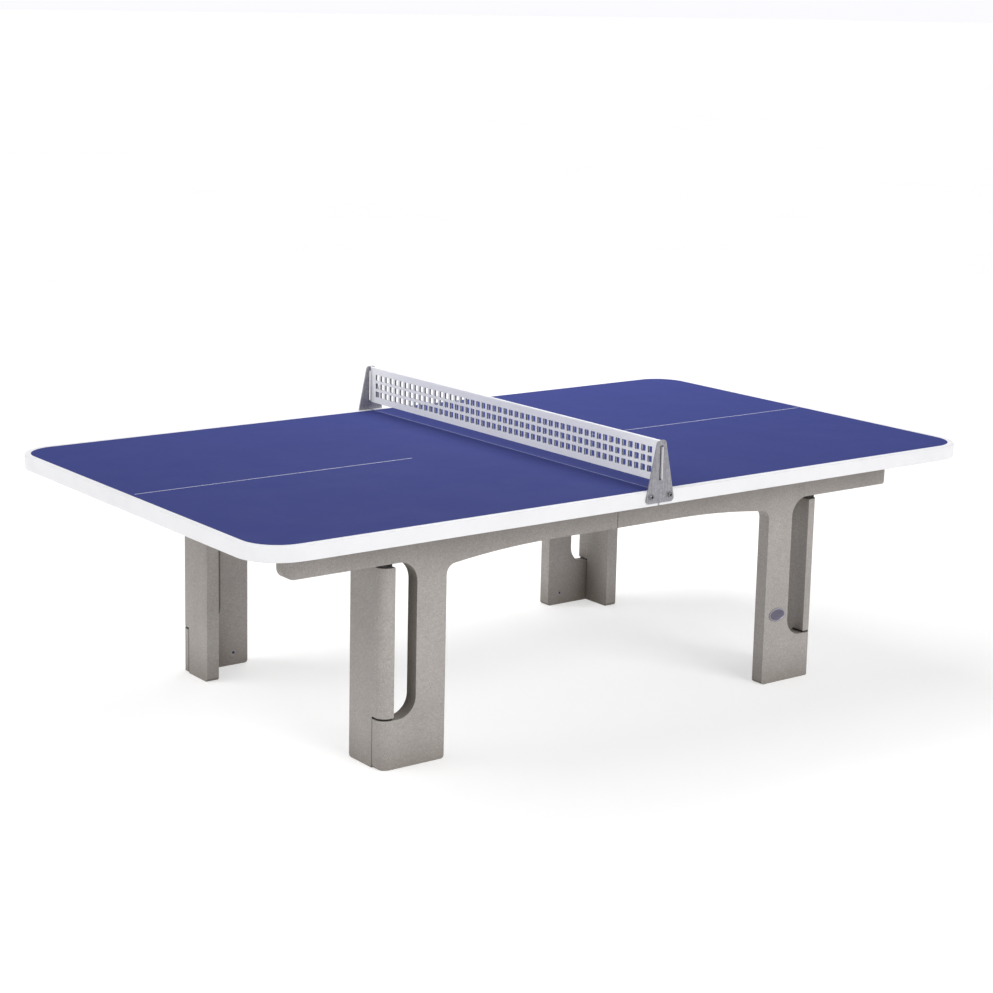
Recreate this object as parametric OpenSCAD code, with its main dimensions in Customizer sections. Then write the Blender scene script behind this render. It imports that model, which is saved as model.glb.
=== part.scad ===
// Outdoor ping pong table cast in polymer concrete: two half tops on interlocking panels.
// +X runs along the table, +Y across it and +Z up; the origin is on the floor at its centre.
// Corner pieces are modelled for +X and +Y, and mirrored to the other corners.

/* [Table top] */
// Length of the whole top, along X
top_len = 2740; // [2400:10:3000]
// Width of the top, along Y
top_wid = 1525; // [1400:5:1700]
// Height of the playing surface above the floor
top_h = 760; // [720:5:800]
// Thickness of a half top
top_t = 45; // [40:1:60]
// Radius of the top's outer corners
top_corner_r = 130; // [40:5:200]
// Gap between the two half tops
top_gap = 6; // [2:0.5:8]

/* [Playing surface] */
// Width of the white border around the coloured surface
border_w = 20; // [15:1:30]
// Thickness of the coloured surface layer
surface_t = 2; // [1:0.5:4]
// Width of the centre line
line_w = 3; // [2:0.5:6]
// Distance from the middle of the table to the inner end of each centre line
line_start = 357; // [300:1:450]
// Distance from the outer end of each centre line to the white border
line_stop = 15; // [5:1:40]

/* [Panels] */
// Thickness of the side and end panels
panel_t = 45; // [40:1:55]
// Distance from the middle of the table to the outer face of a side panel
side_y = 580; // [540:5:620]
// Distance from the middle of the table to the outer face of an end panel
end_x = 862; // [820:2:900]
// Gap between the side panels' halves at the middle of the table
seam_gap = 2; // [1:0.5:4]
// Thickness of the strips that the top rests on
strip_t = 3; // [2:0.5:5]

/* [Side panels] */
// Distance from the middle of the table to the tip of the side beam
beam_tip_x = 1185; // [1100:5:1240]
// Height of the side beam's underside beyond the leg
beam_low_z = 611; // [600:1:640]
// Radius of the side beam's tip
beam_tip_r = 30; // [20:1:60]
// Height of the arch at the middle of the table
arch_z = 608; // [595:1:630]
// Half length of the arch's straight middle
arch_flat = 250; // [100:10:400]
// Radius of the arch's curve
arch_r = 2800; // [2400:50:3400]
// Fillet between the arch and the leg
arch_fillet = 32; // [20:1:50]
// Distance from the middle of the table to the leg's inner face
post_x = 639; // [600:1:680]
// Width of the leg's upright
post_w = 103; // [90:1:120]
// Height of the leg's foot
foot_h = 148; // [120:1:180]
// Radius of the notch's lower corner
notch_low_r = 60; // [30:1:62]
// Radius of the notch's upper corner
notch_top_r = 62; // [30:1:64]
// Radius of the panels' round vertical outer edges
edge_r = 32; // [15:1:40]
// Radius of the foot's lower corners
toe_r = 11; // [4:1:20]

/* [End panels] */
// Width of an end panel's leg
end_leg_w = 165; // [140:5:200]
// Height of the opening between an end panel's legs
end_open_z = 600; // [580:2:620]
// Radius of the opening's upper corners
end_open_r = 40; // [20:1:80]
// Gap below the tongue that rests on the foot
tongue_low_gap = 6; // [3:1:12]
// Gap above the tongue
tongue_top_gap = 12; // [6:1:20]
// Gap between the end panel's edge and the side panel's inner face
relief_gap = 2.5; // [1:0.5:4]
// Distance that the pads stay back from the panels' faces
pad_inset = 4; // [2:0.5:8]

/* [Net] */
// Thickness of the folded net, over both skins
net_t = 7; // [5:0.5:9]
// Thickness of the sheet that the net is folded from
net_sheet_t = 1.5; // [1:0.1:2.5]
// Height of the net's lower edge above the playing surface
net_gap = 27; // [15:1:40]
// Height of the net
net_h = 125; // [115:1:130]
// Columns of holes
net_cols = 50; // [30:2:52]
// Rows of holes
net_rows = 3; // [2:1:4]
// Distance between hole centres
net_pitch = 29.3; // [24:0.1:29.3]
// Side of a square hole
net_hole = 20; // [12:1:22]
// Height of the tab at each end of the net
tab_h = 101; // [80:1:105]
// Length of the tab beyond the top's edge
tab_out = 8; // [6:0.5:12]

/* [Net brackets] */
// Thickness of a bracket
bracket_t = 5; // [4:0.5:6]
// Height of a bracket
bracket_h = 189; // [185:1:195]
// Width of a bracket at its foot
bracket_foot_w = 107; // [100:1:120]
// Width of a bracket at its top
bracket_top_w = 36; // [30:1:40]
// Radius of a bracket's corners
bracket_r = 12; // [6:1:14]
// Height of a bracket's lower edge above the top's underside
bracket_up = 9; // [5:1:12]
// Width of the slot that holds the net's tab
slot_w = 12; // [9:0.5:14]
// Height of the slot
slot_h = 105; // [103:1:108]
// Distance from the bracket's middle to each bolt
bracket_bolt_x = 36; // [32:1:38]
// Height of the bolts above the bracket's lower edge
bracket_bolt_z = 21; // [18:1:24]

/* [Fixings] */
// Thread diameter of the frame bolts
bolt_d = 12; // [10:1:14]
// Thread diameter of the bracket bolts
bracket_bolt_d = 10; // [8:1:12]
// Thickness of the joining plates at the seam
joint_plate_t = 8; // [6:1:10]
// Thickness of the angles
angle_t = 6; // [5:1:8]
// Leg length of the angles
angle_leg = 60; // [50:1:70]
// Depth of the cast-in threaded inserts
insert_len = 30; // [20:1:36]
// Wall thickness of the inserts
insert_wall = 3; // [2:0.5:4]
// Distance from the middle of the table to each ground anchor hole
anchor_x = 693; // [670:1:710]
// Height of the ground anchor holes
anchor_z = 42; // [30:1:60]
// Diameter of the ground anchor holes
anchor_d = 10; // [8:1:12]

/* [Badge] */
// Length of the blank oval plate
badge_w = 70; // [50:1:80]
// Height of the plate
badge_h = 44; // [34:1:50]
// Thickness of the plate
badge_t = 2.5; // [1.5:0.5:4]
// Distance from the middle of the table to the plate's centre
badge_x = 694; // [685:1:700]
// Height of the plate's centre above the floor
badge_z = 229; // [180:1:280]

/* [Hidden] */

$fn = 64;
ARCH_FN = 720;
LEFT = -1;
RIGHT = 1;
FRONT = -1;
BACK = 1;
SIDES = [-1, 1];
cut = 1; // how far a cutting shape runs past a face

blue = [0.06, 0.07, 0.22];
white = [0.88, 0.88, 0.90];
concrete = [0.55, 0.53, 0.51];
steel = [0.66, 0.67, 0.68];
rubber = [0.05, 0.05, 0.05];
net_grey = [0.80, 0.80, 0.82];

half_len = top_len / 2;
half_wid = top_wid / 2;
slab_z = top_h - top_t;
frame_h = slab_z - strip_t;
surface_z = top_h - surface_t;
surface_corner_r = top_corner_r - border_w;
line_end = half_len - border_w - line_stop;

side_in = side_y - panel_t;
end_in = end_x - panel_t;
notch_x = post_x + post_w;
leg_in = side_y - end_leg_w;
relief_y = side_in - relief_gap;
tongue_low = foot_h + tongue_low_gap;
tongue_top = beam_low_z - tongue_top_gap;

net_z = top_h + net_gap;
bracket_z = slab_z + bracket_up;
fold_z = net_z + net_h - net_t / 2;
rows_down = 2; // the rows of holes sit this far below the middle of the net
net_mid_z = net_z + net_h / 2 - rows_down;
slot_up = 5; // from the net's lower edge to its slot's
slot_z = net_z + slot_up;
tab_z = slot_z; // a tab rests on the lower edge of its slot
bolt_row_z = bracket_z + bracket_bolt_z;

bolt_r = bolt_d / 2;
bracket_bolt_r = bracket_bolt_d / 2;
thread_play = 0.05; // so that a bolt and its insert do not share one surface
hole_play = 0.5;
washer_play = 0.2;
insert_end = 2; // thickness of an insert's closed end
bolt_in = 26; // how far a bolt goes into its insert
head_h = 7.5;
head_r = 0.92 * bolt_d;
flange_r = bolt_d;
flange_t = 2.5;
washer_t = 2;
screw_head_h = 5;
socket_deep = 3.5;

angle_hole = 35; // from an angle's corner to its bolt
side_fix_x = 350;
end_fix_y = 220;
corner_z = 670;
fix_z = slab_z - angle_hole;
plate_len = 160;
plate_h = 76;
plate_corner_r = 8;
plate_bolt_x = 50;
plate_bolt_z = 18;
plate_z = (arch_z + frame_h) / 2;

strip_in = 5; // from a panel's face to the strip on it
strip_end_in = 20; // from a panel's end to the strip on it
seal_h = 19;
seal_in = 2; // from the top's edge to the end of the seal
seal_down = 0.3; // from the playing surface down to the seal
net_end_gap = 0.5;
net_end = half_wid - net_end_gap;
tab_root = 5; // how far a tab runs into its skin
slot_corner_r = 2;
oval_end = 0.36; // radius of the oval's ends, as a share of its height

// Puts a shape modelled at +X, +Y in the corner named by sx and sy.
module place(sx, sy) mirror([sx < 0 ? 1 : 0, 0, 0]) mirror([0, sy < 0 ? 1 : 0, 0]) children();

module at_corners() for (sx = SIDES, sy = SIDES) place(sx, sy) children();

// An outline in X and Z, made into a panel whose outer face is at y.
module panel_y(y, t) translate([0, y, 0]) rotate([90, 0, 0]) linear_extrude(t) children();

// An outline in Y and Z, made into a panel whose inner face is at x.
module panel_x(x, t) translate([x, 0, 0]) rotate([90, 0, 90]) linear_extrude(t) children();

// A rectangle from x0, y0 to x1, y1.
module rect(x0, y0, x1, y1) translate([x0, y0]) square([x1 - x0, y1 - y0]);

module rounded_rect(w, h, r) {
    rect(-w / 2 + r, -h / 2, w / 2 - r, h / 2);
    rect(-w / 2, -h / 2 + r, w / 2, h / 2 - r);
    for (sx = SIDES, sy = SIDES) translate([sx * (w / 2 - r), sy * (h / 2 - r)]) circle(r);
}

// The waste outside a round corner whose sides point along dx and dy.
module corner_waste(x, y, r, dx, dy) difference() {
    translate([x - (dx > 0 ? r : cut), y - (dy > 0 ? r : cut)]) square(r + cut);
    translate([x - dx * r, y - dy * r]) circle(r);
}

// Cuts a vertical edge at x, y to a round of radius edge_r.
module vertical_edge_waste(x, y, z0, z1) translate([0, 0, z0]) linear_extrude(z1 - z0)
    corner_waste(x, y, edge_r, 1, 1);

// A plan outline of a half top, from the middle joint to its two round corners.
module half_top_outline(len, half_w, r) {
    rect(top_gap / 2, -half_w, len - r, half_w);
    rect(top_gap / 2, -half_w + r, len, half_w - r);
    for (s = SIDES) translate([len - r, s * (half_w - r)]) circle(r, $fn = 128);
}

module surface_outline() half_top_outline(half_len - border_w, half_wid - border_w, surface_corner_r);

module line_outline() rect(line_start, -line_w / 2, line_end, line_w / 2);

module half_slab() color(white) difference() {
    translate([0, 0, slab_z]) linear_extrude(top_t) half_top_outline(half_len, half_wid, top_corner_r);
    translate([0, 0, surface_z]) linear_extrude(surface_t + cut) surface_outline();
    for (s = SIDES) place(RIGHT, s) {
        slab_fix_places() insert_body(bolt_r);
        bracket_insert_place() insert_body(bracket_bolt_r);
    }
}

module half_surface() color(blue) translate([0, 0, surface_z]) linear_extrude(surface_t) difference() {
    surface_outline();
    line_outline();
}

module half_line() color(white) translate([0, 0, surface_z]) linear_extrude(surface_t) line_outline();

module top_joint_seal() color(net_grey)
    translate([-top_gap / 2, -half_wid + seal_in, top_h - seal_h - seal_down])
        cube([top_gap, top_wid - 2 * seal_in, seal_h]);

// The arch between a side panel's half and its leg, as the space that is left open.
module arch_space() {
    arc_z = arch_z - arch_r;
    fillet_x = post_x - arch_fillet;
    reach = arch_r - arch_fillet;
    run = fillet_x - arch_flat;
    rise = sqrt(reach * reach - run * run);
    touch_x = fillet_x + arch_fillet * run / reach;
    rect(-cut, -cut, arch_flat, arch_z);
    intersection() {
        translate([arch_flat, arc_z]) circle(arch_r, $fn = ARCH_FN);
        rect(arch_flat, -cut, touch_x, arch_z);
    }
    rect(arch_flat, -cut, post_x, arc_z + rise);
    translate([fillet_x, arc_z + rise]) circle(arch_fillet);
}

// The notch beside the leg that takes the end panel's tongue.
module notch_space() {
    far = end_x + cut;
    rect(notch_x + notch_low_r, foot_h, far, beam_low_z);
    rect(notch_x, foot_h + notch_low_r, far, beam_low_z - notch_top_r);
    translate([notch_x + notch_low_r, foot_h + notch_low_r]) circle(notch_low_r);
    translate([notch_x + notch_top_r, beam_low_z - notch_top_r]) circle(notch_top_r);
}

module side_outline() difference() {
    rect(seam_gap / 2, 0, beam_tip_x, frame_h);
    arch_space();
    notch_space();
    rect(end_x, -cut, beam_tip_x + cut, beam_low_z);
    corner_waste(beam_tip_x, beam_low_z, beam_tip_r, 1, -1);
    corner_waste(end_x, 0, toe_r, 1, -1);
    corner_waste(post_x, 0, toe_r, -1, -1);
}

module side_frame(sx, sy) color(concrete) place(sx, sy) difference() {
    panel_y(side_y, panel_t) side_outline();
    vertical_edge_waste(end_x, side_y, -cut, foot_h + cut);
    vertical_edge_waste(beam_tip_x, side_y, beam_low_z - cut, frame_h + cut);
    anchor_place() insert_body(anchor_d / 2);
    joint_bolt_places() insert_body(bolt_r);
    translate([side_fix_x, side_in, fix_z]) into_side() insert_body(bolt_r);
    corner_side_place() insert_body(bolt_r);
}

module end_outline() difference() {
    rect(-side_y, 0, side_y, frame_h);
    rect(-leg_in + end_open_r, -cut, leg_in - end_open_r, end_open_z);
    rect(-leg_in, -cut, leg_in, end_open_z - end_open_r);
    for (s = SIDES) mirror([s < 0 ? 1 : 0, 0]) {
        translate([leg_in - end_open_r, end_open_z - end_open_r]) circle(end_open_r);
        rect(relief_y, -cut, side_y + cut, tongue_low);
        rect(relief_y, tongue_top, side_y + cut, frame_h + cut);
        corner_waste(leg_in, 0, toe_r, -1, -1);
    }
}

module end_frame(sx) color(concrete) place(sx, BACK) difference() {
    panel_x(end_in, panel_t) end_outline();
    for (s = SIDES) place(RIGHT, s) {
        vertical_edge_waste(end_x, side_y, tongue_low - cut, tongue_top + cut);
        translate([end_in, end_fix_y, fix_z]) into_end() insert_body(bolt_r);
        corner_end_place() insert_body(bolt_r);
    }
}

// Points a shape's Z axis out of a side panel's inner face into the panel, or into an end panel.
module into_side() rotate([-90, 0, 0]) children();
module into_end() rotate([0, 90, 0]) children();

module side_bearing_strips() color(rubber) at_corners()
    translate([strip_end_in, side_in + strip_in, frame_h])
        cube([beam_tip_x - 2 * strip_end_in, panel_t - 2 * strip_in, strip_t]);

module end_bearing_strips() color(rubber) for (sx = SIDES) place(sx, BACK)
    translate([end_in + strip_in, strip_end_in - relief_y, frame_h])
        cube([panel_t - 2 * strip_in, 2 * (relief_y - strip_end_in), strip_t]);

// A pad's plan follows the tongue's, set back from its faces.
module pad_outline() difference() {
    rect(end_in + pad_inset, side_in + pad_inset, end_x - pad_inset, side_y - pad_inset);
    corner_waste(end_x - pad_inset, side_y - pad_inset, edge_r - pad_inset, 1, 1);
}

module lower_interlock_pads() color(rubber) at_corners()
    translate([0, 0, foot_h]) linear_extrude(tongue_low_gap) pad_outline();

module upper_interlock_pads() color(rubber) at_corners()
    translate([0, 0, tongue_top]) linear_extrude(tongue_top_gap) intersection() {
        pad_outline();
        rect(end_in + pad_inset, side_in, end_x - 2 * pad_inset, side_y - 3 * pad_inset);
    }

// A hexagon bolt with a flange, through metal of thickness grip and into an insert that starts at z = 0.
module flange_bolt(grip) translate([0, 0, -grip]) {
    translate([0, 0, -flange_t - head_h]) cylinder(r = head_r, h = head_h, $fn = 6);
    translate([0, 0, -flange_t]) cylinder(r = flange_r, h = flange_t);
    cylinder(r = bolt_r, h = grip + bolt_in);
}

module angle_bolt() flange_bolt(angle_t);

module insert_body(r) cylinder(r = r + insert_wall, h = insert_len);

// A cast-in sleeve with a closed end, for a bolt of radius r.
module insert(r, play) difference() {
    insert_body(r);
    translate([0, 0, -cut]) cylinder(r = r + play, h = insert_len - insert_end + cut);
}

module joint_bolt_places() for (s = SIDES)
    translate([plate_bolt_x, side_in, plate_z + s * plate_bolt_z]) into_side() children();

module frame_fix_places() {
    translate([side_fix_x, side_in, fix_z]) into_side() children();
    translate([end_in, end_fix_y, fix_z]) into_end() children();
}

module slab_fix_places() {
    translate([side_fix_x, side_in - angle_hole, slab_z]) children();
    translate([end_in - angle_hole, end_fix_y, slab_z]) children();
}

module corner_side_place() translate([end_in - angle_hole, side_in, corner_z]) into_side() children();
module corner_end_place() translate([end_in, side_in - angle_hole, corner_z]) into_end() children();
module anchor_place() translate([anchor_x, side_in, anchor_z]) into_side() children();

module bracket_insert_place() translate([bracket_bolt_x, half_wid, bolt_row_z]) rotate([90, 0, 0])
    children();

module joint_plate(sy) color(steel) place(RIGHT, sy) difference() {
    panel_y(side_in, joint_plate_t) translate([0, plate_z]) rounded_rect(plate_len, plate_h, plate_corner_r);
    for (sx = SIDES) place(sx, BACK) joint_bolt_places() bolt_hole(joint_plate_t);
}

module joint_plate_bolts() color(steel) at_corners() joint_bolt_places() flange_bolt(joint_plate_t);

// A clearance hole through metal of thickness t that lies on z = 0.
module bolt_hole(t) translate([0, 0, -t - cut]) cylinder(r = bolt_r + hole_play, h = t + 2 * cut);

// An angle with its corner at the origin and its legs along +X and +Y, each with a bolt hole.
module angle(w) difference() {
    translate([0, 0, -w / 2]) linear_extrude(w) {
        square([angle_leg, angle_t]);
        square([angle_t, angle_leg]);
    }
    translate([angle_hole, 0, 0]) rotate([90, 0, 0]) bolt_hole(angle_t);
    translate([0, angle_hole, 0]) rotate([0, -90, 0]) bolt_hole(angle_t);
}

module corner_angles() color(steel) at_corners()
    translate([end_in, side_in, corner_z]) rotate([0, 0, 180]) angle(angle_leg);

module corner_angle_bolts() color(steel) at_corners() {
    corner_side_place() angle_bolt();
    corner_end_place() angle_bolt();
}

module top_fixing_angles() color(steel) at_corners() {
    translate([side_fix_x, side_in, slab_z]) rotate([0, 90, 0]) rotate([0, 0, -90]) angle(angle_leg);
    translate([end_in, end_fix_y, slab_z]) rotate([90, 0, 0]) rotate([0, 0, 180]) angle(angle_leg);
}

module top_fixing_bolts() color(steel) at_corners() {
    frame_fix_places() angle_bolt();
    slab_fix_places() angle_bolt();
}

module frame_inserts() color(steel) at_corners() {
    joint_bolt_places() insert(bolt_r, thread_play);
    frame_fix_places() insert(bolt_r, thread_play);
    corner_side_place() insert(bolt_r, thread_play);
    corner_end_place() insert(bolt_r, thread_play);
}

module slab_inserts() color(steel) at_corners() slab_fix_places() insert(bolt_r, thread_play);

module anchor_sockets() color(steel) at_corners() anchor_place() insert(anchor_d / 2, 0);

// Place of hole i in a row of n holes, measured from the row's middle.
function from_middle(i, n) = (i - (n - 1) / 2) * net_pitch;

module net_outline() difference() {
    rect(-net_end, net_z, net_end, net_z + net_h);
    for (col = [0 : net_cols - 1], row = [0 : net_rows - 1])
        translate([from_middle(col, net_cols), net_mid_z + from_middle(row, net_rows)])
            square(net_hole, center = true);
}

// A strip in X and Z with a round top, of width w.
module round_top(w, low) {
    rect(-w / 2, low, w / 2, fold_z);
    translate([0, fold_z]) circle(w / 2);
}

// One sheet, folded over along its top edge into two skins. One skin has a tab at each end.
module net_panel() color(net_grey) {
    intersection() {
        panel_x(-net_t / 2, net_t) net_outline();
        panel_y(net_end + cut, 2 * (net_end + cut)) difference() {
            round_top(net_t, net_z);
            round_top(net_t - 2 * net_sheet_t, net_z - cut);
        }
    }
    for (s = SIDES) place(RIGHT, s) panel_x(net_t / 2 - net_sheet_t, net_sheet_t)
        rect(net_end - tab_root, tab_z, half_wid + tab_out, tab_z + tab_h);
}

// A bracket's outline: a tapered plate with equal round corners.
module bracket_outline() {
    r = bracket_r;
    lean = (bracket_foot_w - bracket_top_w) / 2;
    foot_c = bracket_foot_w / 2 - r;
    top_c = bracket_top_w / 2 - r;
    rise = bracket_h - 2 * r;
    slope = norm([rise, lean]);
    nx = r * rise / slope;
    nz = r * lean / slope;
    right = [[foot_c, 0], [foot_c + nx, r + nz], [top_c + nx, bracket_h - r + nz], [top_c, bracket_h]];
    left = [for (i = [3 : -1 : 0]) [-right[i][0], right[i][1]]];
    polygon(concat(right, left));
    for (s = SIDES) {
        translate([s * foot_c, r]) circle(r);
        translate([s * top_c, bracket_h - r]) circle(r);
    }
}

module net_bracket(sy) color(steel) place(RIGHT, sy) panel_y(half_wid + bracket_t, bracket_t)
    difference() {
        translate([0, bracket_z]) bracket_outline();
        translate([0, slot_z + slot_h / 2]) rounded_rect(slot_w, slot_h, slot_corner_r);
        for (s = SIDES) translate([s * bracket_bolt_x, bolt_row_z]) circle(bracket_bolt_r + hole_play);
    }

// A round-headed socket screw through the bracket and its washer.
module socket_screw(grip) translate([0, 0, -grip]) difference() {
    union() {
        cylinder(r = bracket_bolt_r, h = grip + bolt_in);
        translate([0, 0, -screw_head_h])
            cylinder(r1 = 1.1 * bracket_bolt_r, r2 = 1.7 * bracket_bolt_r, h = screw_head_h);
    }
    translate([0, 0, -screw_head_h - cut])
        cylinder(r = 0.7 * bracket_bolt_r, h = socket_deep + cut, $fn = 6);
}

module net_bracket_bolts() color(steel) at_corners()
    bracket_insert_place() socket_screw(bracket_t + washer_t);

module net_bracket_washers() color(steel) at_corners() bracket_insert_place()
    translate([0, 0, -bracket_t - washer_t]) difference() {
        cylinder(r = 2 * bracket_bolt_r, h = washer_t);
        translate([0, 0, -cut]) cylinder(r = bracket_bolt_r + washer_play, h = washer_t + 2 * cut);
    }

module net_bracket_inserts() color(steel) at_corners()
    bracket_insert_place() insert(bracket_bolt_r, thread_play);

// An oval of four arcs: two round ends joined by two flatter sides.
module oval(w, h) {
    end_r = oval_end * h;
    end_c = w / 2 - end_r;
    drop = h / 2 - end_r;
    c = (end_c * end_c - drop * drop) / (2 * drop);
    flat_r = c + h / 2;
    touch_x = end_c + end_r * end_c / (flat_r - end_r);
    intersection() {
        translate([0, c]) circle(flat_r, $fn = 128);
        translate([0, -c]) circle(flat_r, $fn = 128);
        square([2 * touch_x, h + 2 * cut], center = true);
    }
    for (s = SIDES) translate([s * end_c, 0]) circle(end_r);
}

module name_badge() color(steel) place(RIGHT, FRONT)
    panel_y(side_y + badge_t, badge_t) translate([badge_x, badge_z]) oval(badge_w, badge_h);

place(LEFT, BACK) half_slab();  // top_slab_left
half_slab();  // top_slab_right
place(LEFT, BACK) half_surface();  // playing_surface_left
half_surface();  // playing_surface_right
place(LEFT, BACK) half_line();  // centre_line_left
half_line();  // centre_line_right
top_joint_seal();
side_frame(LEFT, FRONT);  // side_frame_front_left
side_frame(RIGHT, FRONT);  // side_frame_front_right
side_frame(LEFT, BACK);  // side_frame_back_left
side_frame(RIGHT, BACK);  // side_frame_back_right
end_frame(LEFT);  // end_frame_left
end_frame(RIGHT);  // end_frame_right
side_bearing_strips();
end_bearing_strips();
upper_interlock_pads();
lower_interlock_pads();
joint_plate(FRONT);  // joint_plate_front
joint_plate(BACK);  // joint_plate_back
joint_plate_bolts();
corner_angles();
corner_angle_bolts();
top_fixing_angles();
top_fixing_bolts();
frame_inserts();
slab_inserts();
anchor_sockets();
net_panel();
net_bracket(FRONT);  // net_bracket_front
net_bracket(BACK);  // net_bracket_back
net_bracket_bolts();
net_bracket_washers();
net_bracket_inserts();
name_badge();
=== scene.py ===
import math

import bmesh
import bpy
from mathutils import Matrix, Vector


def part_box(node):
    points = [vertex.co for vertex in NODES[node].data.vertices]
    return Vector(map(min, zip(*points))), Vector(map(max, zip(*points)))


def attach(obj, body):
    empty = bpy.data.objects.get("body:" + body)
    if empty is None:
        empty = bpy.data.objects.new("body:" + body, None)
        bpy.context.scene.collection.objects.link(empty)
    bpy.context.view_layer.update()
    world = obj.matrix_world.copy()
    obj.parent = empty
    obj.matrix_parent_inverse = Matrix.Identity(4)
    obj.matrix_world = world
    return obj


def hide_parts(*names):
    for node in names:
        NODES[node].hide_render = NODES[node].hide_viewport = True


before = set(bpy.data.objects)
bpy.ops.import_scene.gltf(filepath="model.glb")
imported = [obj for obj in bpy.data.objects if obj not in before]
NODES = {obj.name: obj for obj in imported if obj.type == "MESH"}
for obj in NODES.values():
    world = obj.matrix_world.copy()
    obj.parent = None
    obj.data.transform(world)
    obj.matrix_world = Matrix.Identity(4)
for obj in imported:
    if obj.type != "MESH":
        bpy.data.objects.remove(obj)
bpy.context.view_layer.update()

# The looks of an outdoor ping pong table of cast concrete. Metres, +X along the table, +Z up.
MM = 0.001

# Camera, as for a picture of the whole table from its front left corner.
CAMERA_PLACE = (-4.191, -5.430, 2.157)
CAMERA_TURN = (78.88, -0.897, -35.518)  # degrees
CAMERA_LENS = 78.39  # mm, on a sensor 36 mm wide
CAMERA_SHIFT = 0.067  # of the picture's width, to the right and down
CAMERA_SEES = 2000  # metres

# How round the edges of each kind of piece are.
CAST_EDGE = 2.2 * MM
SEAM_EDGE = 1.2 * MM
SLAB_EDGE = 4 * MM
HOLE_EDGE = 0.4 * MM
JOINT_EDGE = 2 * HOLE_EDGE
STEEL_EDGE = 0.7 * MM
COAT_EDGE = 0.15 * MM
RUBBER_EDGE = 0.8 * MM

WELD = 0.01 * MM  # corners closer than this are one corner
FLAT = math.radians(0.2)  # faces closer than this in angle are one face
SHARP = math.radians(25)  # edges sharper than this are rounded
HOLE_DEEPEST = 40 * MM  # the walls of every bolt and anchor hole are shorter than this
ROUND_STEPS = 3  # faces across each rounded edge


class Finish:
    """A material, with a short call for each kind of node that the finishes use."""

    def __init__(self, name, **sockets):
        self.material = bpy.data.materials.new(name)
        self.material.use_nodes = True
        self.tree = self.material.node_tree
        self.shader = self.tree.nodes["Principled BSDF"]
        self.place = self.node("ShaderNodeTexCoord").outputs["Object"]
        self.set(**sockets)

    def node(self, kind, **settings):
        made = self.tree.nodes.new(kind)
        for key, value in settings.items():
            setattr(made, key, value)
        return made

    def put(self, socket, value):
        """Links a socket to a node's output, or sets its value."""
        if isinstance(value, bpy.types.NodeSocket):
            self.tree.links.new(value, socket)
        else:
            socket.default_value = value

    def set(self, **sockets):
        """Sets the shader's sockets, named in lower case with _ for a space."""
        for key, value in sockets.items():
            name = next(s.name for s in self.shader.inputs if s.name.lower().replace(" ", "_") == key)
            self.put(self.shader.inputs[name], value)

    def stretched(self, x, y, z):
        """The place on the piece, with a scale of its own along each axis."""
        mapping = self.node("ShaderNodeMapping")
        self.put(mapping.inputs["Vector"], self.place)
        mapping.inputs["Scale"].default_value = (x, y, z)
        return mapping.outputs["Vector"]

    def noise(self, scale, detail=2.0, roughness=0.5, place=None):
        """Clouds from 0 to 1, with about scale of them to a metre."""
        made = self.node("ShaderNodeTexNoise")
        self.put(made.inputs["Vector"], place or self.place)
        made.inputs["Scale"].default_value = scale
        made.inputs["Detail"].default_value = detail
        made.inputs["Roughness"].default_value = roughness
        return made.outputs["Fac"]

    def cells(self, scale, place=None):
        """Cells, about scale to a metre: the distance from each one's middle, and its own random number."""
        made = self.node("ShaderNodeTexVoronoi")
        self.put(made.inputs["Vector"], place or self.place)
        made.inputs["Scale"].default_value = scale
        parts = self.node("ShaderNodeSeparateColor")
        self.put(parts.inputs["Color"], made.outputs["Color"])
        return made.outputs["Distance"], parts.outputs["Red"]

    def math(self, operation, a, b=0.0):
        made = self.node("ShaderNodeMath", operation=operation)
        self.put(made.inputs[0], a)
        self.put(made.inputs[1], b)
        return made.outputs["Value"]

    def spread(self, value, low, high, to_low=0.0, to_high=1.0):
        """A value from low to high, spread over to_low to to_high."""
        made = self.node("ShaderNodeMapRange")
        for name, number in zip(("Value", "From Min", "From Max", "To Min", "To Max"),
                                (value, low, high, to_low, to_high)):
            self.put(made.inputs[name], number)
        return made.outputs["Result"]

    def ramp(self, value, *stops):
        """A colour between the stops, which are (place, grey or colour) pairs."""
        made = self.node("ShaderNodeValToRGB")
        elements = made.color_ramp.elements
        while len(elements) < len(stops):
            elements.new(0.5)
        for element, (place, colour) in zip(elements, stops):
            element.position = place
            element.color = (*colour, 1) if isinstance(colour, tuple) else (colour, colour, colour, 1)
        self.put(made.inputs["Fac"], value)
        return made.outputs["Color"]

    def mix(self, share, a, b, blend="MIX"):
        made = self.node("ShaderNodeMix", data_type="RGBA", blend_type=blend)
        self.put(made.inputs["Factor"], share)
        for name, value in (("A", a), ("B", b)):
            socket = next(s for s in made.inputs if s.name == name and s.type == "RGBA")
            self.put(socket, (*value, 1) if isinstance(value, tuple) else value)
        return next(s for s in made.outputs if s.type == "RGBA")

    def wear(self):
        """1 along the rounded edges and 0 on the flat faces."""
        return self.node("ShaderNodeAttribute", attribute_name="wear").outputs["Fac"]

    def crevice(self, distance):
        """1 deep in a gap or an inner corner and 0 in the open."""
        made = self.node("ShaderNodeAmbientOcclusion", samples=6)
        made.inputs["Distance"].default_value = distance
        return self.math("SUBTRACT", 1.0, made.outputs["AO"])

    def bump(self, *heights):
        """Adds relief to the shader, from (height from 0 to 1, metres) pairs."""
        normal = None
        for height, depth in heights:
            made = self.node("ShaderNodeBump")
            made.inputs["Distance"].default_value = depth
            self.put(made.inputs["Height"], height)
            if normal:
                self.put(made.inputs["Normal"], normal)
            normal = made.outputs["Normal"]
        self.set(normal=normal)


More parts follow.
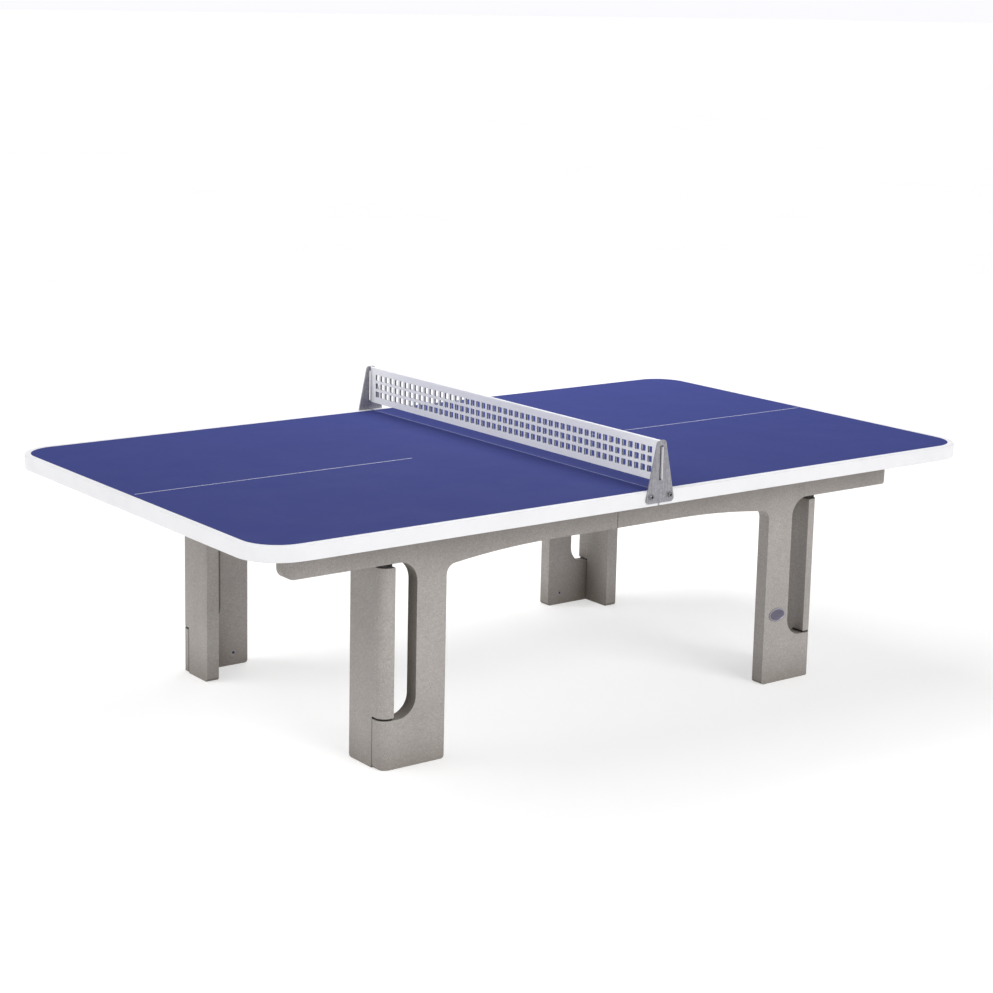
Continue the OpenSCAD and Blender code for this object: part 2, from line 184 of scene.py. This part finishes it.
def concrete():
    """Smooth grey polymer concrete: fine sand grains, soft clouds, small air holes with painted shade in
    them, paler edges that are part wear and part painted highlight, and dirt with painted shade in sheltered
    places.
    """
    dull, middle, bright = (0.320, 0.298, 0.280), (0.347, 0.324, 0.304), (0.372, 0.348, 0.327)
    # paler rounded edges, part wear and part painted highlight
    pale_edge = (0.46, 0.44, 0.42)
    dirt_and_painted_shade = (0.085, 0.068, 0.048)  # dirt in sheltered places, with painted shade there too
    # painted shade in the small air holes
    hole_shade = (0.11, 0.10, 0.09)
    shelter = 0.25  # metres, how near another face has to be for the dirt and painted shade
    f = Finish("cast_concrete", specular_ior_level=0.25)
    grain_distance, grain = f.cells(700)
    fine = f.noise(1500, 2)
    cloud = f.noise(4, 5, 0.6)
    streak = f.noise(14, 3, 0.5, f.stretched(1, 1, 0.25))
    mottle = f.noise(110, 3, 0.6)
    hole_distance, hole_chance = f.cells(38)
    has_hole = f.math("GREATER_THAN", hole_chance, 0.72)
    hole = f.math("MULTIPLY", f.spread(hole_distance, 0.05, 0.03), has_hole)
    base = f.ramp(cloud, (0.25, dull), (0.5, middle), (0.75, bright))
    base = f.mix(0.3, base, f.ramp(streak, (0.3, 0.44), (0.7, 0.56)), "OVERLAY")
    sand = f.ramp(grain, (0.0, 0.27), (0.12, 0.45), (0.5, 0.5), (0.88, 0.55), (1.0, 0.72))
    base = f.mix(0.7, base, sand, "OVERLAY")
    base = f.mix(0.35, base, f.ramp(fine, (0.3, 0.4), (0.7, 0.6)), "OVERLAY")
    base = f.mix(0.5, base, f.ramp(mottle, (0.3, 0.43), (0.7, 0.57)), "OVERLAY")
    # paler rounded edges: part wear, part painted highlight
    base = f.mix(f.math("MULTIPLY", f.wear(), 0.3), base, pale_edge)
    # dirt and painted shade where other faces stand near
    base = f.mix(f.spread(f.crevice(shelter), 0.31, 0.62, 0, 0.8), base, dirt_and_painted_shade)
    # painted shade in the air holes
    base = f.mix(hole, base, hole_shade)
    f.set(base_color=base, roughness=f.spread(grain, 0, 1, 0.72, 0.92))
    sand_relief = f.spread(grain_distance, 0, 0.8)
    hole_relief = f.math("SUBTRACT", 1.0, hole)
    f.bump((sand_relief, 0.1 * MM), (fine, 0.08 * MM), (hole_relief, 1.2 * MM))
    return f.material


def blue_coat():
    """A matt blue coating with a faint grain, very soft clouds and a few pale scuffs."""
    deep, light = (0.0405, 0.0510, 0.187), (0.0425, 0.0535, 0.195)
    scuffed = (0.12, 0.135, 0.30)
    f = Finish("blue_coating", specular_ior_level=0.04)
    cloud = f.noise(1.6, 5, 0.6)
    grain = f.noise(900, 3, 0.6)
    base = f.ramp(cloud, (0.3, deep), (0.7, light))
    base = f.mix(0.3, base, f.ramp(grain, (0.3, 0.42), (0.7, 0.58)), "OVERLAY")
    scuff = f.spread(f.noise(26, 6, 0.75, f.stretched(1, 0.25, 1)), 0.66, 0.8, 0, 0.12)
    base = f.mix(scuff, base, scuffed)
    rough = f.spread(f.noise(7, 4, 0.6), 0.3, 0.7, 0.66, 0.76)
    f.set(base_color=base, roughness=rough)
    f.bump((grain, 0.08 * MM))
    return f.material


def white_coat(name, colour):
    """White paint, with faint clouds, a fine grain and rubbed edges."""
    pale = tuple(min(1.0, c * 1.02) for c in colour)
    dull = tuple(c * 0.96 for c in colour)
    bare = tuple(c * 0.72 for c in colour)
    most_rubbed = 0.25
    f = Finish(name, specular_ior_level=0.3)
    cloud = f.noise(6, 5, 0.65)
    grain = f.noise(700, 3, 0.6)
    base = f.ramp(cloud, (0.3, dull), (0.5, colour), (0.7, pale))
    base = f.mix(0.15, base, f.ramp(grain, (0.3, 0.42), (0.7, 0.58)), "OVERLAY")
    rubbed = f.math("MULTIPLY", f.wear(), f.spread(f.noise(40, 4, 0.7), 0.5, 0.75, 0, most_rubbed))
    base = f.mix(rubbed, base, bare)
    f.set(base_color=base, roughness=f.spread(cloud, 0.3, 0.7, 0.42, 0.54))
    f.bump((grain, 0.05 * MM))
    return f.material


def galvanised():
    """Galvanised steel: a faint mosaic of crystals under long upright streaks."""
    dark, middle, light = (0.28, 0.275, 0.30), (0.315, 0.31, 0.335), (0.355, 0.35, 0.375)
    pale_edge = (0.66, 0.66, 0.68)
    waviness = 0.006  # metres, how far the crystals' borders wander
    f = Finish("galvanised_steel", metallic=0.8)
    wavy = f.node("ShaderNodeVectorMath", operation="ADD")
    f.put(wavy.inputs[0], f.place)
    f.put(wavy.inputs[1], f.mix(1.0, (0, 0, 0), f.ramp(f.noise(60, 2), (0, 0), (1, waviness))))
    _, crystal = f.cells(150, wavy.outputs["Vector"])
    streak = f.noise(160, 4, 0.6, f.stretched(1, 1, 0.05))
    base = f.ramp(crystal, (0, dark), (0.5, middle), (1, light))
    base = f.mix(0.7, base, f.ramp(streak, (0.3, 0.36), (0.7, 0.62)), "OVERLAY")
    base = f.mix(f.math("MULTIPLY", f.wear(), 0.5), base, pale_edge)
    f.set(base_color=base, roughness=f.spread(streak, 0.3, 0.7, 0.36, 0.52))
    f.bump((crystal, 0.03 * MM), (streak, 0.03 * MM))
    return f.material


def screw_steel():
    """Turned stainless steel, with painted shade in the sockets."""
    dark, light = (0.17, 0.17, 0.175), (0.26, 0.26, 0.265)
    f = Finish("screw_steel", metallic=0.9)
    turning = f.noise(1200, 3, 0.6)
    base = f.ramp(turning, (0.3, dark), (0.7, light))
    # painted shade deep in each hexagon socket
    socket_shade = f.node("ShaderNodeAttribute", attribute_name="socket").outputs["Fac"]
    base = f.mix(socket_shade, base, f.ramp(turning, (0.3, 0.01), (0.7, 0.03)))
    f.set(base_color=base, roughness=f.spread(turning, 0.3, 0.7, 0.25, 0.4))
    f.bump((turning, 0.02 * MM))
    return f.material


def net_coat():
    """A thick pale grey coating with a faint orange peel, dark in the gap between the net's skins."""
    dull, bright = (0.85, 0.85, 0.865), (0.89, 0.89, 0.905)
    pale_edge = (0.90, 0.90, 0.91)
    in_gap = (0.05, 0.05, 0.07)  # stands in for shadow
    reach = 8 * MM  # twice the gap
    f = Finish("net_coating", specular_ior_level=0.4)
    peel = f.noise(260, 3, 0.55)
    cloud = f.noise(18, 5, 0.65)
    base = f.ramp(cloud, (0.3, dull), (0.7, bright))
    base = f.mix(0.25, base, f.ramp(peel, (0.3, 0.42), (0.7, 0.58)), "OVERLAY")
    base = f.mix(f.math("MULTIPLY", f.wear(), 0.2), base, pale_edge)
    base = f.mix(f.spread(f.crevice(reach), 0.2, 0.55, 0, 0.95), base, in_gap)
    f.set(base_color=base, roughness=f.spread(cloud, 0.3, 0.7, 0.4, 0.52))
    f.bump((peel, 0.12 * MM))
    return f.material


def rubber(name, low, high):
    """Dull moulded rubber or sealant, with dust in its grain."""
    dusty = (0.3, 0.29, 0.28)
    f = Finish(name, specular_ior_level=0.3)
    grain = f.noise(800, 4, 0.65)
    dust = f.spread(f.noise(30, 5, 0.7), 0.45, 0.75)
    base = f.mix(f.math("MULTIPLY", dust, 0.4), f.ramp(grain, (0.3, low), (0.7, high)), dusty)
    f.set(base_color=base, roughness=f.spread(grain, 0.3, 0.7, 0.7, 0.9))
    f.bump((grain, 0.1 * MM))
    return f.material


def brushed_aluminium():
    """The blank badge: a brushed plate with a darker sunk field."""
    dark, light = (0.26, 0.25, 0.30), (0.38, 0.37, 0.42)
    sunk_dark, sunk_light = (0.11, 0.10, 0.14), (0.17, 0.16, 0.21)
    f = Finish("brushed_aluminium", metallic=0.75)
    lines = f.noise(900, 3, 0.6, f.stretched(0.03, 1, 1))
    base = f.ramp(lines, (0.3, dark), (0.7, light))
    field = f.node("ShaderNodeAttribute", attribute_name="field").outputs["Fac"]
    base = f.mix(field, base, f.ramp(lines, (0.3, sunk_dark), (0.7, sunk_light)))
    f.set(base_color=base, roughness=f.spread(lines, 0.3, 0.7, 0.28, 0.45))
    f.bump((lines, 0.03 * MM))
    return f.material


FINISHES = {
    "grey_concrete": concrete(),
    "blue_surface": blue_coat(),
    "white_edge": white_coat("white_coating", (0.785, 0.785, 0.80)),
    "line_paint": white_coat("line_paint", (0.70, 0.71, 0.76)),
    "joint_sealant": rubber("grey_sealant", (0.10, 0.12, 0.25), (0.15, 0.17, 0.32)),
    "black_rubber": rubber("black_rubber", 0.012, 0.03),
    "galvanised_steel": galvanised(),
    "net_finish": net_coat(),
    "badge_metal": brushed_aluminium(),
}


def slot_of(node):
    """The record's material slot of a CAD node."""
    return NODES[node].data.materials[0].name


def attribute(mesh, name, values):
    """Adds a number for each point of the mesh, which a finish can read."""
    made = mesh.attributes.new(name, "FLOAT", "POINT")
    made.data.foreach_set("value", values)


def piece(name, mesh, node, finish=None):
    """An object that stands for a CAD node, with a finish of its own or its slot's."""
    mesh.name = name
    mesh.materials.clear()
    mesh.materials.append(finish or FINISHES[slot_of(node)])
    mesh.polygons.foreach_set("material_index", [0] * len(mesh.polygons))
    mesh.shade_smooth()
    made = bpy.data.objects.new(name, mesh)
    bpy.context.scene.collection.objects.link(made)
    normals = made.modifiers.new("even_normals", "WEIGHTED_NORMAL")
    normals.keep_sharp = True
    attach(made, "root")
    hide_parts(node)
    return made


def evaluated(thing):
    """The mesh of an object with its modifiers applied. The object is removed."""
    depsgraph = bpy.context.evaluated_depsgraph_get()
    mesh = bpy.data.meshes.new_from_object(thing.evaluated_get(depsgraph), depsgraph=depsgraph)
    bpy.data.objects.remove(thing)
    return mesh


def clean_copy(node):
    """A CAD node's mesh with its corners welded and its flat faces merged."""
    bm = bmesh.new()
    bm.from_mesh(NODES[node].data)
    bmesh.ops.remove_doubles(bm, verts=bm.verts, dist=WELD)
    bmesh.ops.dissolve_limit(
        bm, angle_limit=FLAT, use_dissolve_boundaries=False, verts=bm.verts, edges=bm.edges)
    bm.normal_update()
    return bm


def rounded(bm, width_of):
    """The mesh with each sharp edge rounded to width_of(edge). Its wear attribute marks the rounds."""
    flat_slot, round_slot = 0, 1
    weight = bm.edges.layers.float.new("bevel_weight_edge")
    widths = {e: width_of(e) for e in bm.edges if len(e.link_faces) == 2 and e.calc_face_angle() > SHARP}
    widest = max(widths.values())
    for edge, width in widths.items():
        edge[weight] = width / widest
    mesh = bpy.data.meshes.new("rounding")
    bm.to_mesh(mesh)
    bm.free()
    mesh.materials.clear()
    for _ in (flat_slot, round_slot):
        mesh.materials.append(None)
    thing = bpy.data.objects.new("rounding", mesh)
    bpy.context.scene.collection.objects.link(thing)
    bevel = thing.modifiers.new("edges", "BEVEL")
    bevel.limit_method = "WEIGHT"
    bevel.width = widest
    bevel.segments = ROUND_STEPS
    bevel.material = round_slot
    made = evaluated(thing)
    wear = [1.0] * len(made.vertices)
    for face in made.polygons:
        if face.material_index == flat_slot:
            for corner in face.vertices:
                wear[corner] = 0.0
    attribute(made, "wear", wear)
    return made


def extent(face, axis):
    """How far a face reaches along an axis."""
    along = [v.co[axis] for v in face.verts]
    return max(along) - min(along)


def same(width):
    """Edge widths for a piece that is rounded evenly."""
    return lambda edge: width


def cast_edge():
    """Edge widths for a concrete panel: narrow at its bolt holes and along the seams with its neighbours."""
    end_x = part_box("end_frame_right")[1].x
    seam_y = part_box("side_frame_back_right")[0].y
    near = 4 * MM

    def width_of(edge):
        if min(max(extent(f, axis) for axis in range(3)) for f in edge.link_faces) < HOLE_DEEPEST:
            return HOLE_EDGE
        at = (edge.verts[0].co + edge.verts[1].co) / 2
        on_corner_seam = abs(abs(at.y) - seam_y) < near and abs(at.x) > end_x - near
        on_middle_seam = abs(at.x) < near
        return SEAM_EDGE if on_corner_seam or on_middle_seam else CAST_EDGE

    return width_of


def slab_edge(node):
    """Edge widths for a half top: wide round its rim, narrow at the middle joint and in the recess."""
    low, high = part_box(node)
    joint_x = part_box("top_joint_seal")[1].x
    rim_wall = 0.9 * (high.z - low.z)  # the outer wall and the joint's wall are taller than this

    def width_of(edge):
        heights = [v.co.z for v in edge.verts]
        level = any(all(abs(z - rim) < WELD for z in heights) for rim in (low.z, high.z))
        tall = any(extent(f, 2) > rim_wall for f in edge.link_faces)
        in_joint = all(abs(v.co.x) < joint_x + WELD for v in edge.verts)
        if in_joint:
            return JOINT_EDGE
        return SLAB_EDGE if level and tall else COAT_EDGE

    return width_of


def softened(name, node, width_of):
    """A CAD node with its edges rounded."""
    return piece(name, rounded(clean_copy(node), width_of), node)


def levels(values):
    """The different values in a list, in order, to a hundredth of a millimetre."""
    return sorted({round(v / WELD) * WELD for v in values})


def add_loop(curve, points):
    """Adds a closed outline to a flat curve."""
    spline = curve.splines.new("POLY")
    spline.points.add(len(points) - 1)
    for point, (a, b) in zip(spline.points, points):
        point.co = (a, b, 0, 1)
    spline.use_cyclic_u = True


def rounded_loop(corners, radius, steps=4):
    """A closed outline with its corners rounded, each corner a right angle."""
    points = []
    count = len(corners)
    for i, corner in enumerate(corners):
        here = Vector(corner)
        before = (Vector(corners[i - 1]) - here).normalized()
        after = (Vector(corners[(i + 1) % count]) - here).normalized()
        centre = here + (before + after) * radius
        for k in range(steps + 1):
            turn = math.pi / 2 * k / steps
            points.append(centre - after * radius * math.cos(turn) - before * radius * math.sin(turn))
    return points


def folded_net():
    """The net: one punched sheet, folded over along its top edge, with a tab at each end of the +X skin."""
    hole_r = 2.5 * MM
    corner_r = 1.5 * MM
    edge = 0.4 * MM
    bends = 12
    crease = math.radians(50)
    low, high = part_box("net_panel")
    half = high.x
    points = [v.co for v in NODES["net_panel"].data.vertices]
    fold_z = high.z - half
    outer = [p for p in points if p.x > half - WELD and p.z < fold_z + WELD]
    across = levels(p.y for p in outer)
    up = levels(p.z for p in outer)
    sheet = half - levels(p.x for p in points if p.z < low.z + WELD)[-2]
    middle_r = half - sheet / 2
    quarter = math.pi / 2 * middle_r

    def unfolded(z):
        return quarter + fold_z - z

    bottom, tab_low, tab_high = unfolded(up[0]), unfolded(up[1]), unfolded(up[-2])
    end, body = across[-1], across[-2]
    tab = [(body, tab_high), (end, tab_high), (end, tab_low), (body, tab_low)]
    right_edge = [(body, -bottom), *tab, (body, bottom)]
    outline = right_edge + [(-a, b) for a, b in reversed(right_edge)]
    curve = bpy.data.curves.new("net", "CURVE")
    curve.dimensions = "2D"
    curve.fill_mode = "BOTH"
    curve.bevel_depth = edge
    curve.bevel_resolution = 1
    curve.offset = -edge
    curve.extrude = sheet / 2 - edge
    add_loop(curve, rounded_loop(outline, corner_r))
    holes_across = across[2:-2]
    holes_up = [unfolded(z) for z in up[2:-2]]
    for left, right in zip(holes_across[::2], holes_across[1::2]):
        for far, near in zip(holes_up[::2], holes_up[1::2]):
            for side in (-1, 1):
                one, two = side * far, side * near
                corners = [(left, one), (right, one), (right, two), (left, two)]
                add_loop(curve, rounded_loop(corners, hole_r))
    thing = bpy.data.objects.new("net", curve)
    bpy.context.scene.collection.objects.link(thing)
    mesh = evaluated(thing)
    bm = bmesh.new()
    bm.from_mesh(mesh)
    wear = bm.verts.layers.float.new("wear")
    for i in range(bends + 1):
        place = quarter * (2 * i / bends - 1)
        geometry = list(bm.verts) + list(bm.edges) + list(bm.faces)
        bmesh.ops.bisect_plane(bm, geom=geometry, plane_co=(0, place, 0), plane_no=(0, 1, 0))
    for vert in bm.verts:
        y, along, out = vert.co
        vert[wear] = 1.0 if abs(out) < sheet / 2 - WELD else 0.0
        turn = max(-quarter, min(quarter, along)) / middle_r
        x = (middle_r + out) * math.sin(turn)
        z = fold_z + (middle_r + out) * math.cos(turn) - max(0.0, abs(along) - quarter)
        vert.co = (x, y, z)
    bmesh.ops.recalc_face_normals(bm, faces=bm.faces)
    bm.to_mesh(mesh)
    bm.free()
    mesh.set_sharp_from_angle(angle=crease)
    return piece("folded_net", mesh, "net_panel")


def lathe(bm, profile, place, sides=48):
    """Adds a turned solid to bm. The profile is (radius, height, hexagonal) from one end to the other."""
    sixth = math.pi / 3
    rings = []
    for radius, height, hexagonal in profile:
        ring = []
        for i in range(sides):
            turn = 2 * math.pi * i / sides
            reach = radius / math.cos((turn + sixth / 2) % sixth - sixth / 2) if hexagonal else radius
            point = Vector((reach * math.cos(turn), reach * math.sin(turn), height))
            ring.append(bm.verts.new(place @ point))
        rings.append(ring)
    for one, two in zip(rings, rings[1:]):
        for i in range(sides):
            j = (i + 1) % sides
            bm.faces.new((one[i], one[j], two[j], two[i]))
    bm.faces.new(list(reversed(rings[0])))
    bm.faces.new(rings[-1])
    return rings


def bracket_screws():
    """Dome-headed screws with a hexagon socket, two in each net bracket."""
    node = "net_bracket_bolts"
    low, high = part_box(node)
    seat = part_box("net_bracket_washers")[1].y
    insert_wall = 3 * MM
    head_r = (high.z - low.z) / 2
    head_h = high.y - seat
    shank_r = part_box("net_bracket_inserts")[1].z - high.z + head_r - insert_wall
    tip = min(abs(v.co.y) for v in NODES[node].data.vertices) - seat
    tip_slope = 1 * MM
    head_slope = 0.3 * MM
    rim_h = 0.8 * MM
    socket_r = 0.42 * head_r
    socket_slope = 0.4 * MM
    socket_wall_low, socket_floor = 0.3 * head_h, 0.15 * head_h
    drill_r = 0.3 * socket_r
    lip = socket_r + 0.8 * MM
    dome_r, dome_h = head_r - lip, head_h - rim_h
    dome_steps = 6
    dome = [math.pi / 2 * k / dome_steps for k in range(dome_steps)]
    crease = math.radians(35)
    profile = [(shank_r - tip_slope, tip, False), (shank_r, tip + tip_slope, False), (shank_r, 0.0, False)]
    profile += [(head_r - head_slope, 0.0, False), (head_r, head_slope, False)]
    profile += [(lip + dome_r * math.cos(t), rim_h + dome_h * math.sin(t), False) for t in dome]
    profile += [(lip, head_h, False), (socket_r, head_h - socket_slope, True)]
    profile += [(socket_r, socket_wall_low, True), (drill_r, socket_floor, True)]
    bm = bmesh.new()
    in_socket = bm.verts.layers.float.new("socket")
    for side_x in (-1, 1):
        for side_y in (-1, 1):
            at = Matrix.Translation((side_x * (high.x - head_r), side_y * seat, (low.z + high.z) / 2))
            rings = lathe(bm, profile, at @ Matrix.Rotation(-side_y * math.pi / 2, 4, "X"))
            for vert in rings[-1] + rings[-2]:
                vert[in_socket] = 1.0
    bmesh.ops.recalc_face_normals(bm, faces=bm.faces)
    mesh = bpy.data.meshes.new("screws")
    bm.to_mesh(mesh)
    bm.free()
    mesh.set_sharp_from_angle(angle=crease)
    return piece("net_bracket_screws", mesh, node, screw_steel())


def blank_badge():
    """An oval plate with a raised rim round a sunk, blank field."""
    rim = 3.5 * MM
    sunk = 0.8 * MM
    edge = 0.5 * MM
    level = 0.1 * MM  # the field's points are within this of its own height
    bm = clean_copy("name_badge")
    front = min(bm.faces, key=lambda f: f.normal.y * f.calc_area())
    bmesh.ops.inset_region(bm, faces=[front], thickness=rim, use_even_offset=True)
    bmesh.ops.inset_region(bm, faces=[front], thickness=sunk, use_even_offset=True)
    bmesh.ops.translate(bm, verts=front.verts, vec=(0, sunk, 0))
    field_level = front.verts[0].co.y
    bm.normal_update()
    mesh = rounded(bm, same(edge))
    attribute(mesh, "field", [1.0 if abs(v.co.y - field_level) < level else 0.0 for v in mesh.vertices])
    return piece("blank_badge", mesh, "name_badge")


# Sleeves set in the concrete keep their CAD meshes.
KEPT = ("frame_inserts", "slab_inserts", "anchor_sockets", "net_bracket_inserts")
# The edge widths of every other piece, by its slot.
WIDTHS = {
    "grey_concrete": lambda node: cast_edge(),
    "white_edge": slab_edge,
    "blue_surface": lambda node: same(COAT_EDGE),
    "line_paint": lambda node: same(COAT_EDGE),
    "joint_sealant": lambda node: same(RUBBER_EDGE),
    "black_rubber": lambda node: same(RUBBER_EDGE),
    "galvanised_steel": lambda node: same(STEEL_EDGE),
}
# Pieces that need more than rounded edges.
MADE = {"net_panel": folded_net, "net_bracket_bolts": bracket_screws, "name_badge": blank_badge}

for node in sorted(NODES):
    if node in MADE:
        MADE[node]()
    elif node in KEPT:
        NODES[node].material_slots[0].material = FINISHES[slot_of(node)]
    else:
        softened(node + "_finished", node, WIDTHS[slot_of(node)](node))


def make_camera():
    data = bpy.data.cameras.new("camera")
    data.lens = CAMERA_LENS
    data.shift_x = CAMERA_SHIFT
    data.shift_y = -CAMERA_SHIFT
    data.clip_end = CAMERA_SEES
    camera = bpy.data.objects.new("camera", data)
    camera.location = CAMERA_PLACE
    camera.rotation_euler = [math.radians(a) for a in CAMERA_TURN]
    bpy.context.scene.collection.objects.link(camera)
    bpy.context.scene.camera = camera


def aimed(name, data, place, target):
    """A lamp at a place, turned to a target. The camera doesn't see it."""
    lamp = bpy.data.objects.new(name, data)
    lamp.location = place
    lamp.rotation_euler = (Vector(target) - Vector(place)).to_track_quat("-Z", "Y").to_euler()
    lamp.visible_camera = False
    bpy.context.scene.collection.objects.link(lamp)


def soft_box(name, place, target, size, power):
    data = bpy.data.lights.new(name, "AREA")
    data.size = size
    data.energy = power
    aimed(name, data, place, target)


def broad_key(name, place, softness, strength):
    """Even light from one side, as from a large distant window."""
    data = bpy.data.lights.new(name, "SUN")
    data.angle = math.radians(softness)
    data.energy = strength
    aimed(name, data, place, (0, 0, 0))


def studio_world(strength, glare_top, glare_end):
    """Even pale light all round, and white at the horizon, where the floor meets it."""
    sky = (0.97, 0.97, 1.0, 1)
    world = bpy.data.worlds.new("studio")
    world.use_nodes = True
    tree = world.node_tree
    background = tree.nodes["Background"]
    background.inputs["Color"].default_value = sky
    direction = tree.nodes.new("ShaderNodeTexCoord")
    split = tree.nodes.new("ShaderNodeSeparateXYZ")
    fade = tree.nodes.new("ShaderNodeMapRange")
    fade.interpolation_type = "SMOOTHSTEP"
    tree.links.new(direction.outputs["Generated"], split.inputs["Vector"])
    tree.links.new(split.outputs["Z"], fade.inputs["Value"])
    fade.inputs["From Min"].default_value = math.sin(math.radians(glare_top))
    fade.inputs["From Max"].default_value = math.sin(math.radians(glare_end))
    fade.inputs["To Min"].default_value = 1.0
    fade.inputs["To Max"].default_value = strength
    tree.links.new(fade.outputs["Result"], background.inputs["Strength"])
    bpy.context.scene.world = world


def pale_floor(half, glow):
    """A square floor that reaches half metres each way, and glows a little so that it renders white."""
    dull, bright = (0.54, 0.535, 0.53), (0.56, 0.555, 0.55)
    f = Finish("floor", roughness=0.9, specular_ior_level=0.1)
    tone = f.noise(0.5, 3)
    f.set(base_color=f.ramp(tone, (0.3, dull), (0.7, bright)))
    f.set(emission_color=(1, 1, 1, 1), emission_strength=glow)
    mesh = bpy.data.meshes.new("floor")
    corners = [(-half, -half, 0), (half, -half, 0), (half, half, 0), (-half, half, 0)]
    mesh.from_pydata(corners, [], [(0, 1, 2, 3)])
    mesh.materials.append(f.material)
    floor = bpy.data.objects.new("floor", mesh)
    bpy.context.scene.collection.objects.link(floor)


def studio():
    """A white floor, soft light from the left and from the front, and more on the top's far half."""
    studio_world(strength=0.28, glare_top=3, glare_end=10)
    pale_floor(half=400, glow=0.50)
    broad_key("left_key", (-0.70, 0.35, 0.65), softness=40, strength=1.7)
    broad_key("front_key", (0.12, -0.82, 0.54), softness=34, strength=1.72)
    soft_box("far_top_light", (1.0, 1.6, 3.2), (0.9, 0.7, 0.76), size=1.6, power=58)
    bpy.context.scene.view_settings.view_transform = "Standard"


make_camera()
studio()
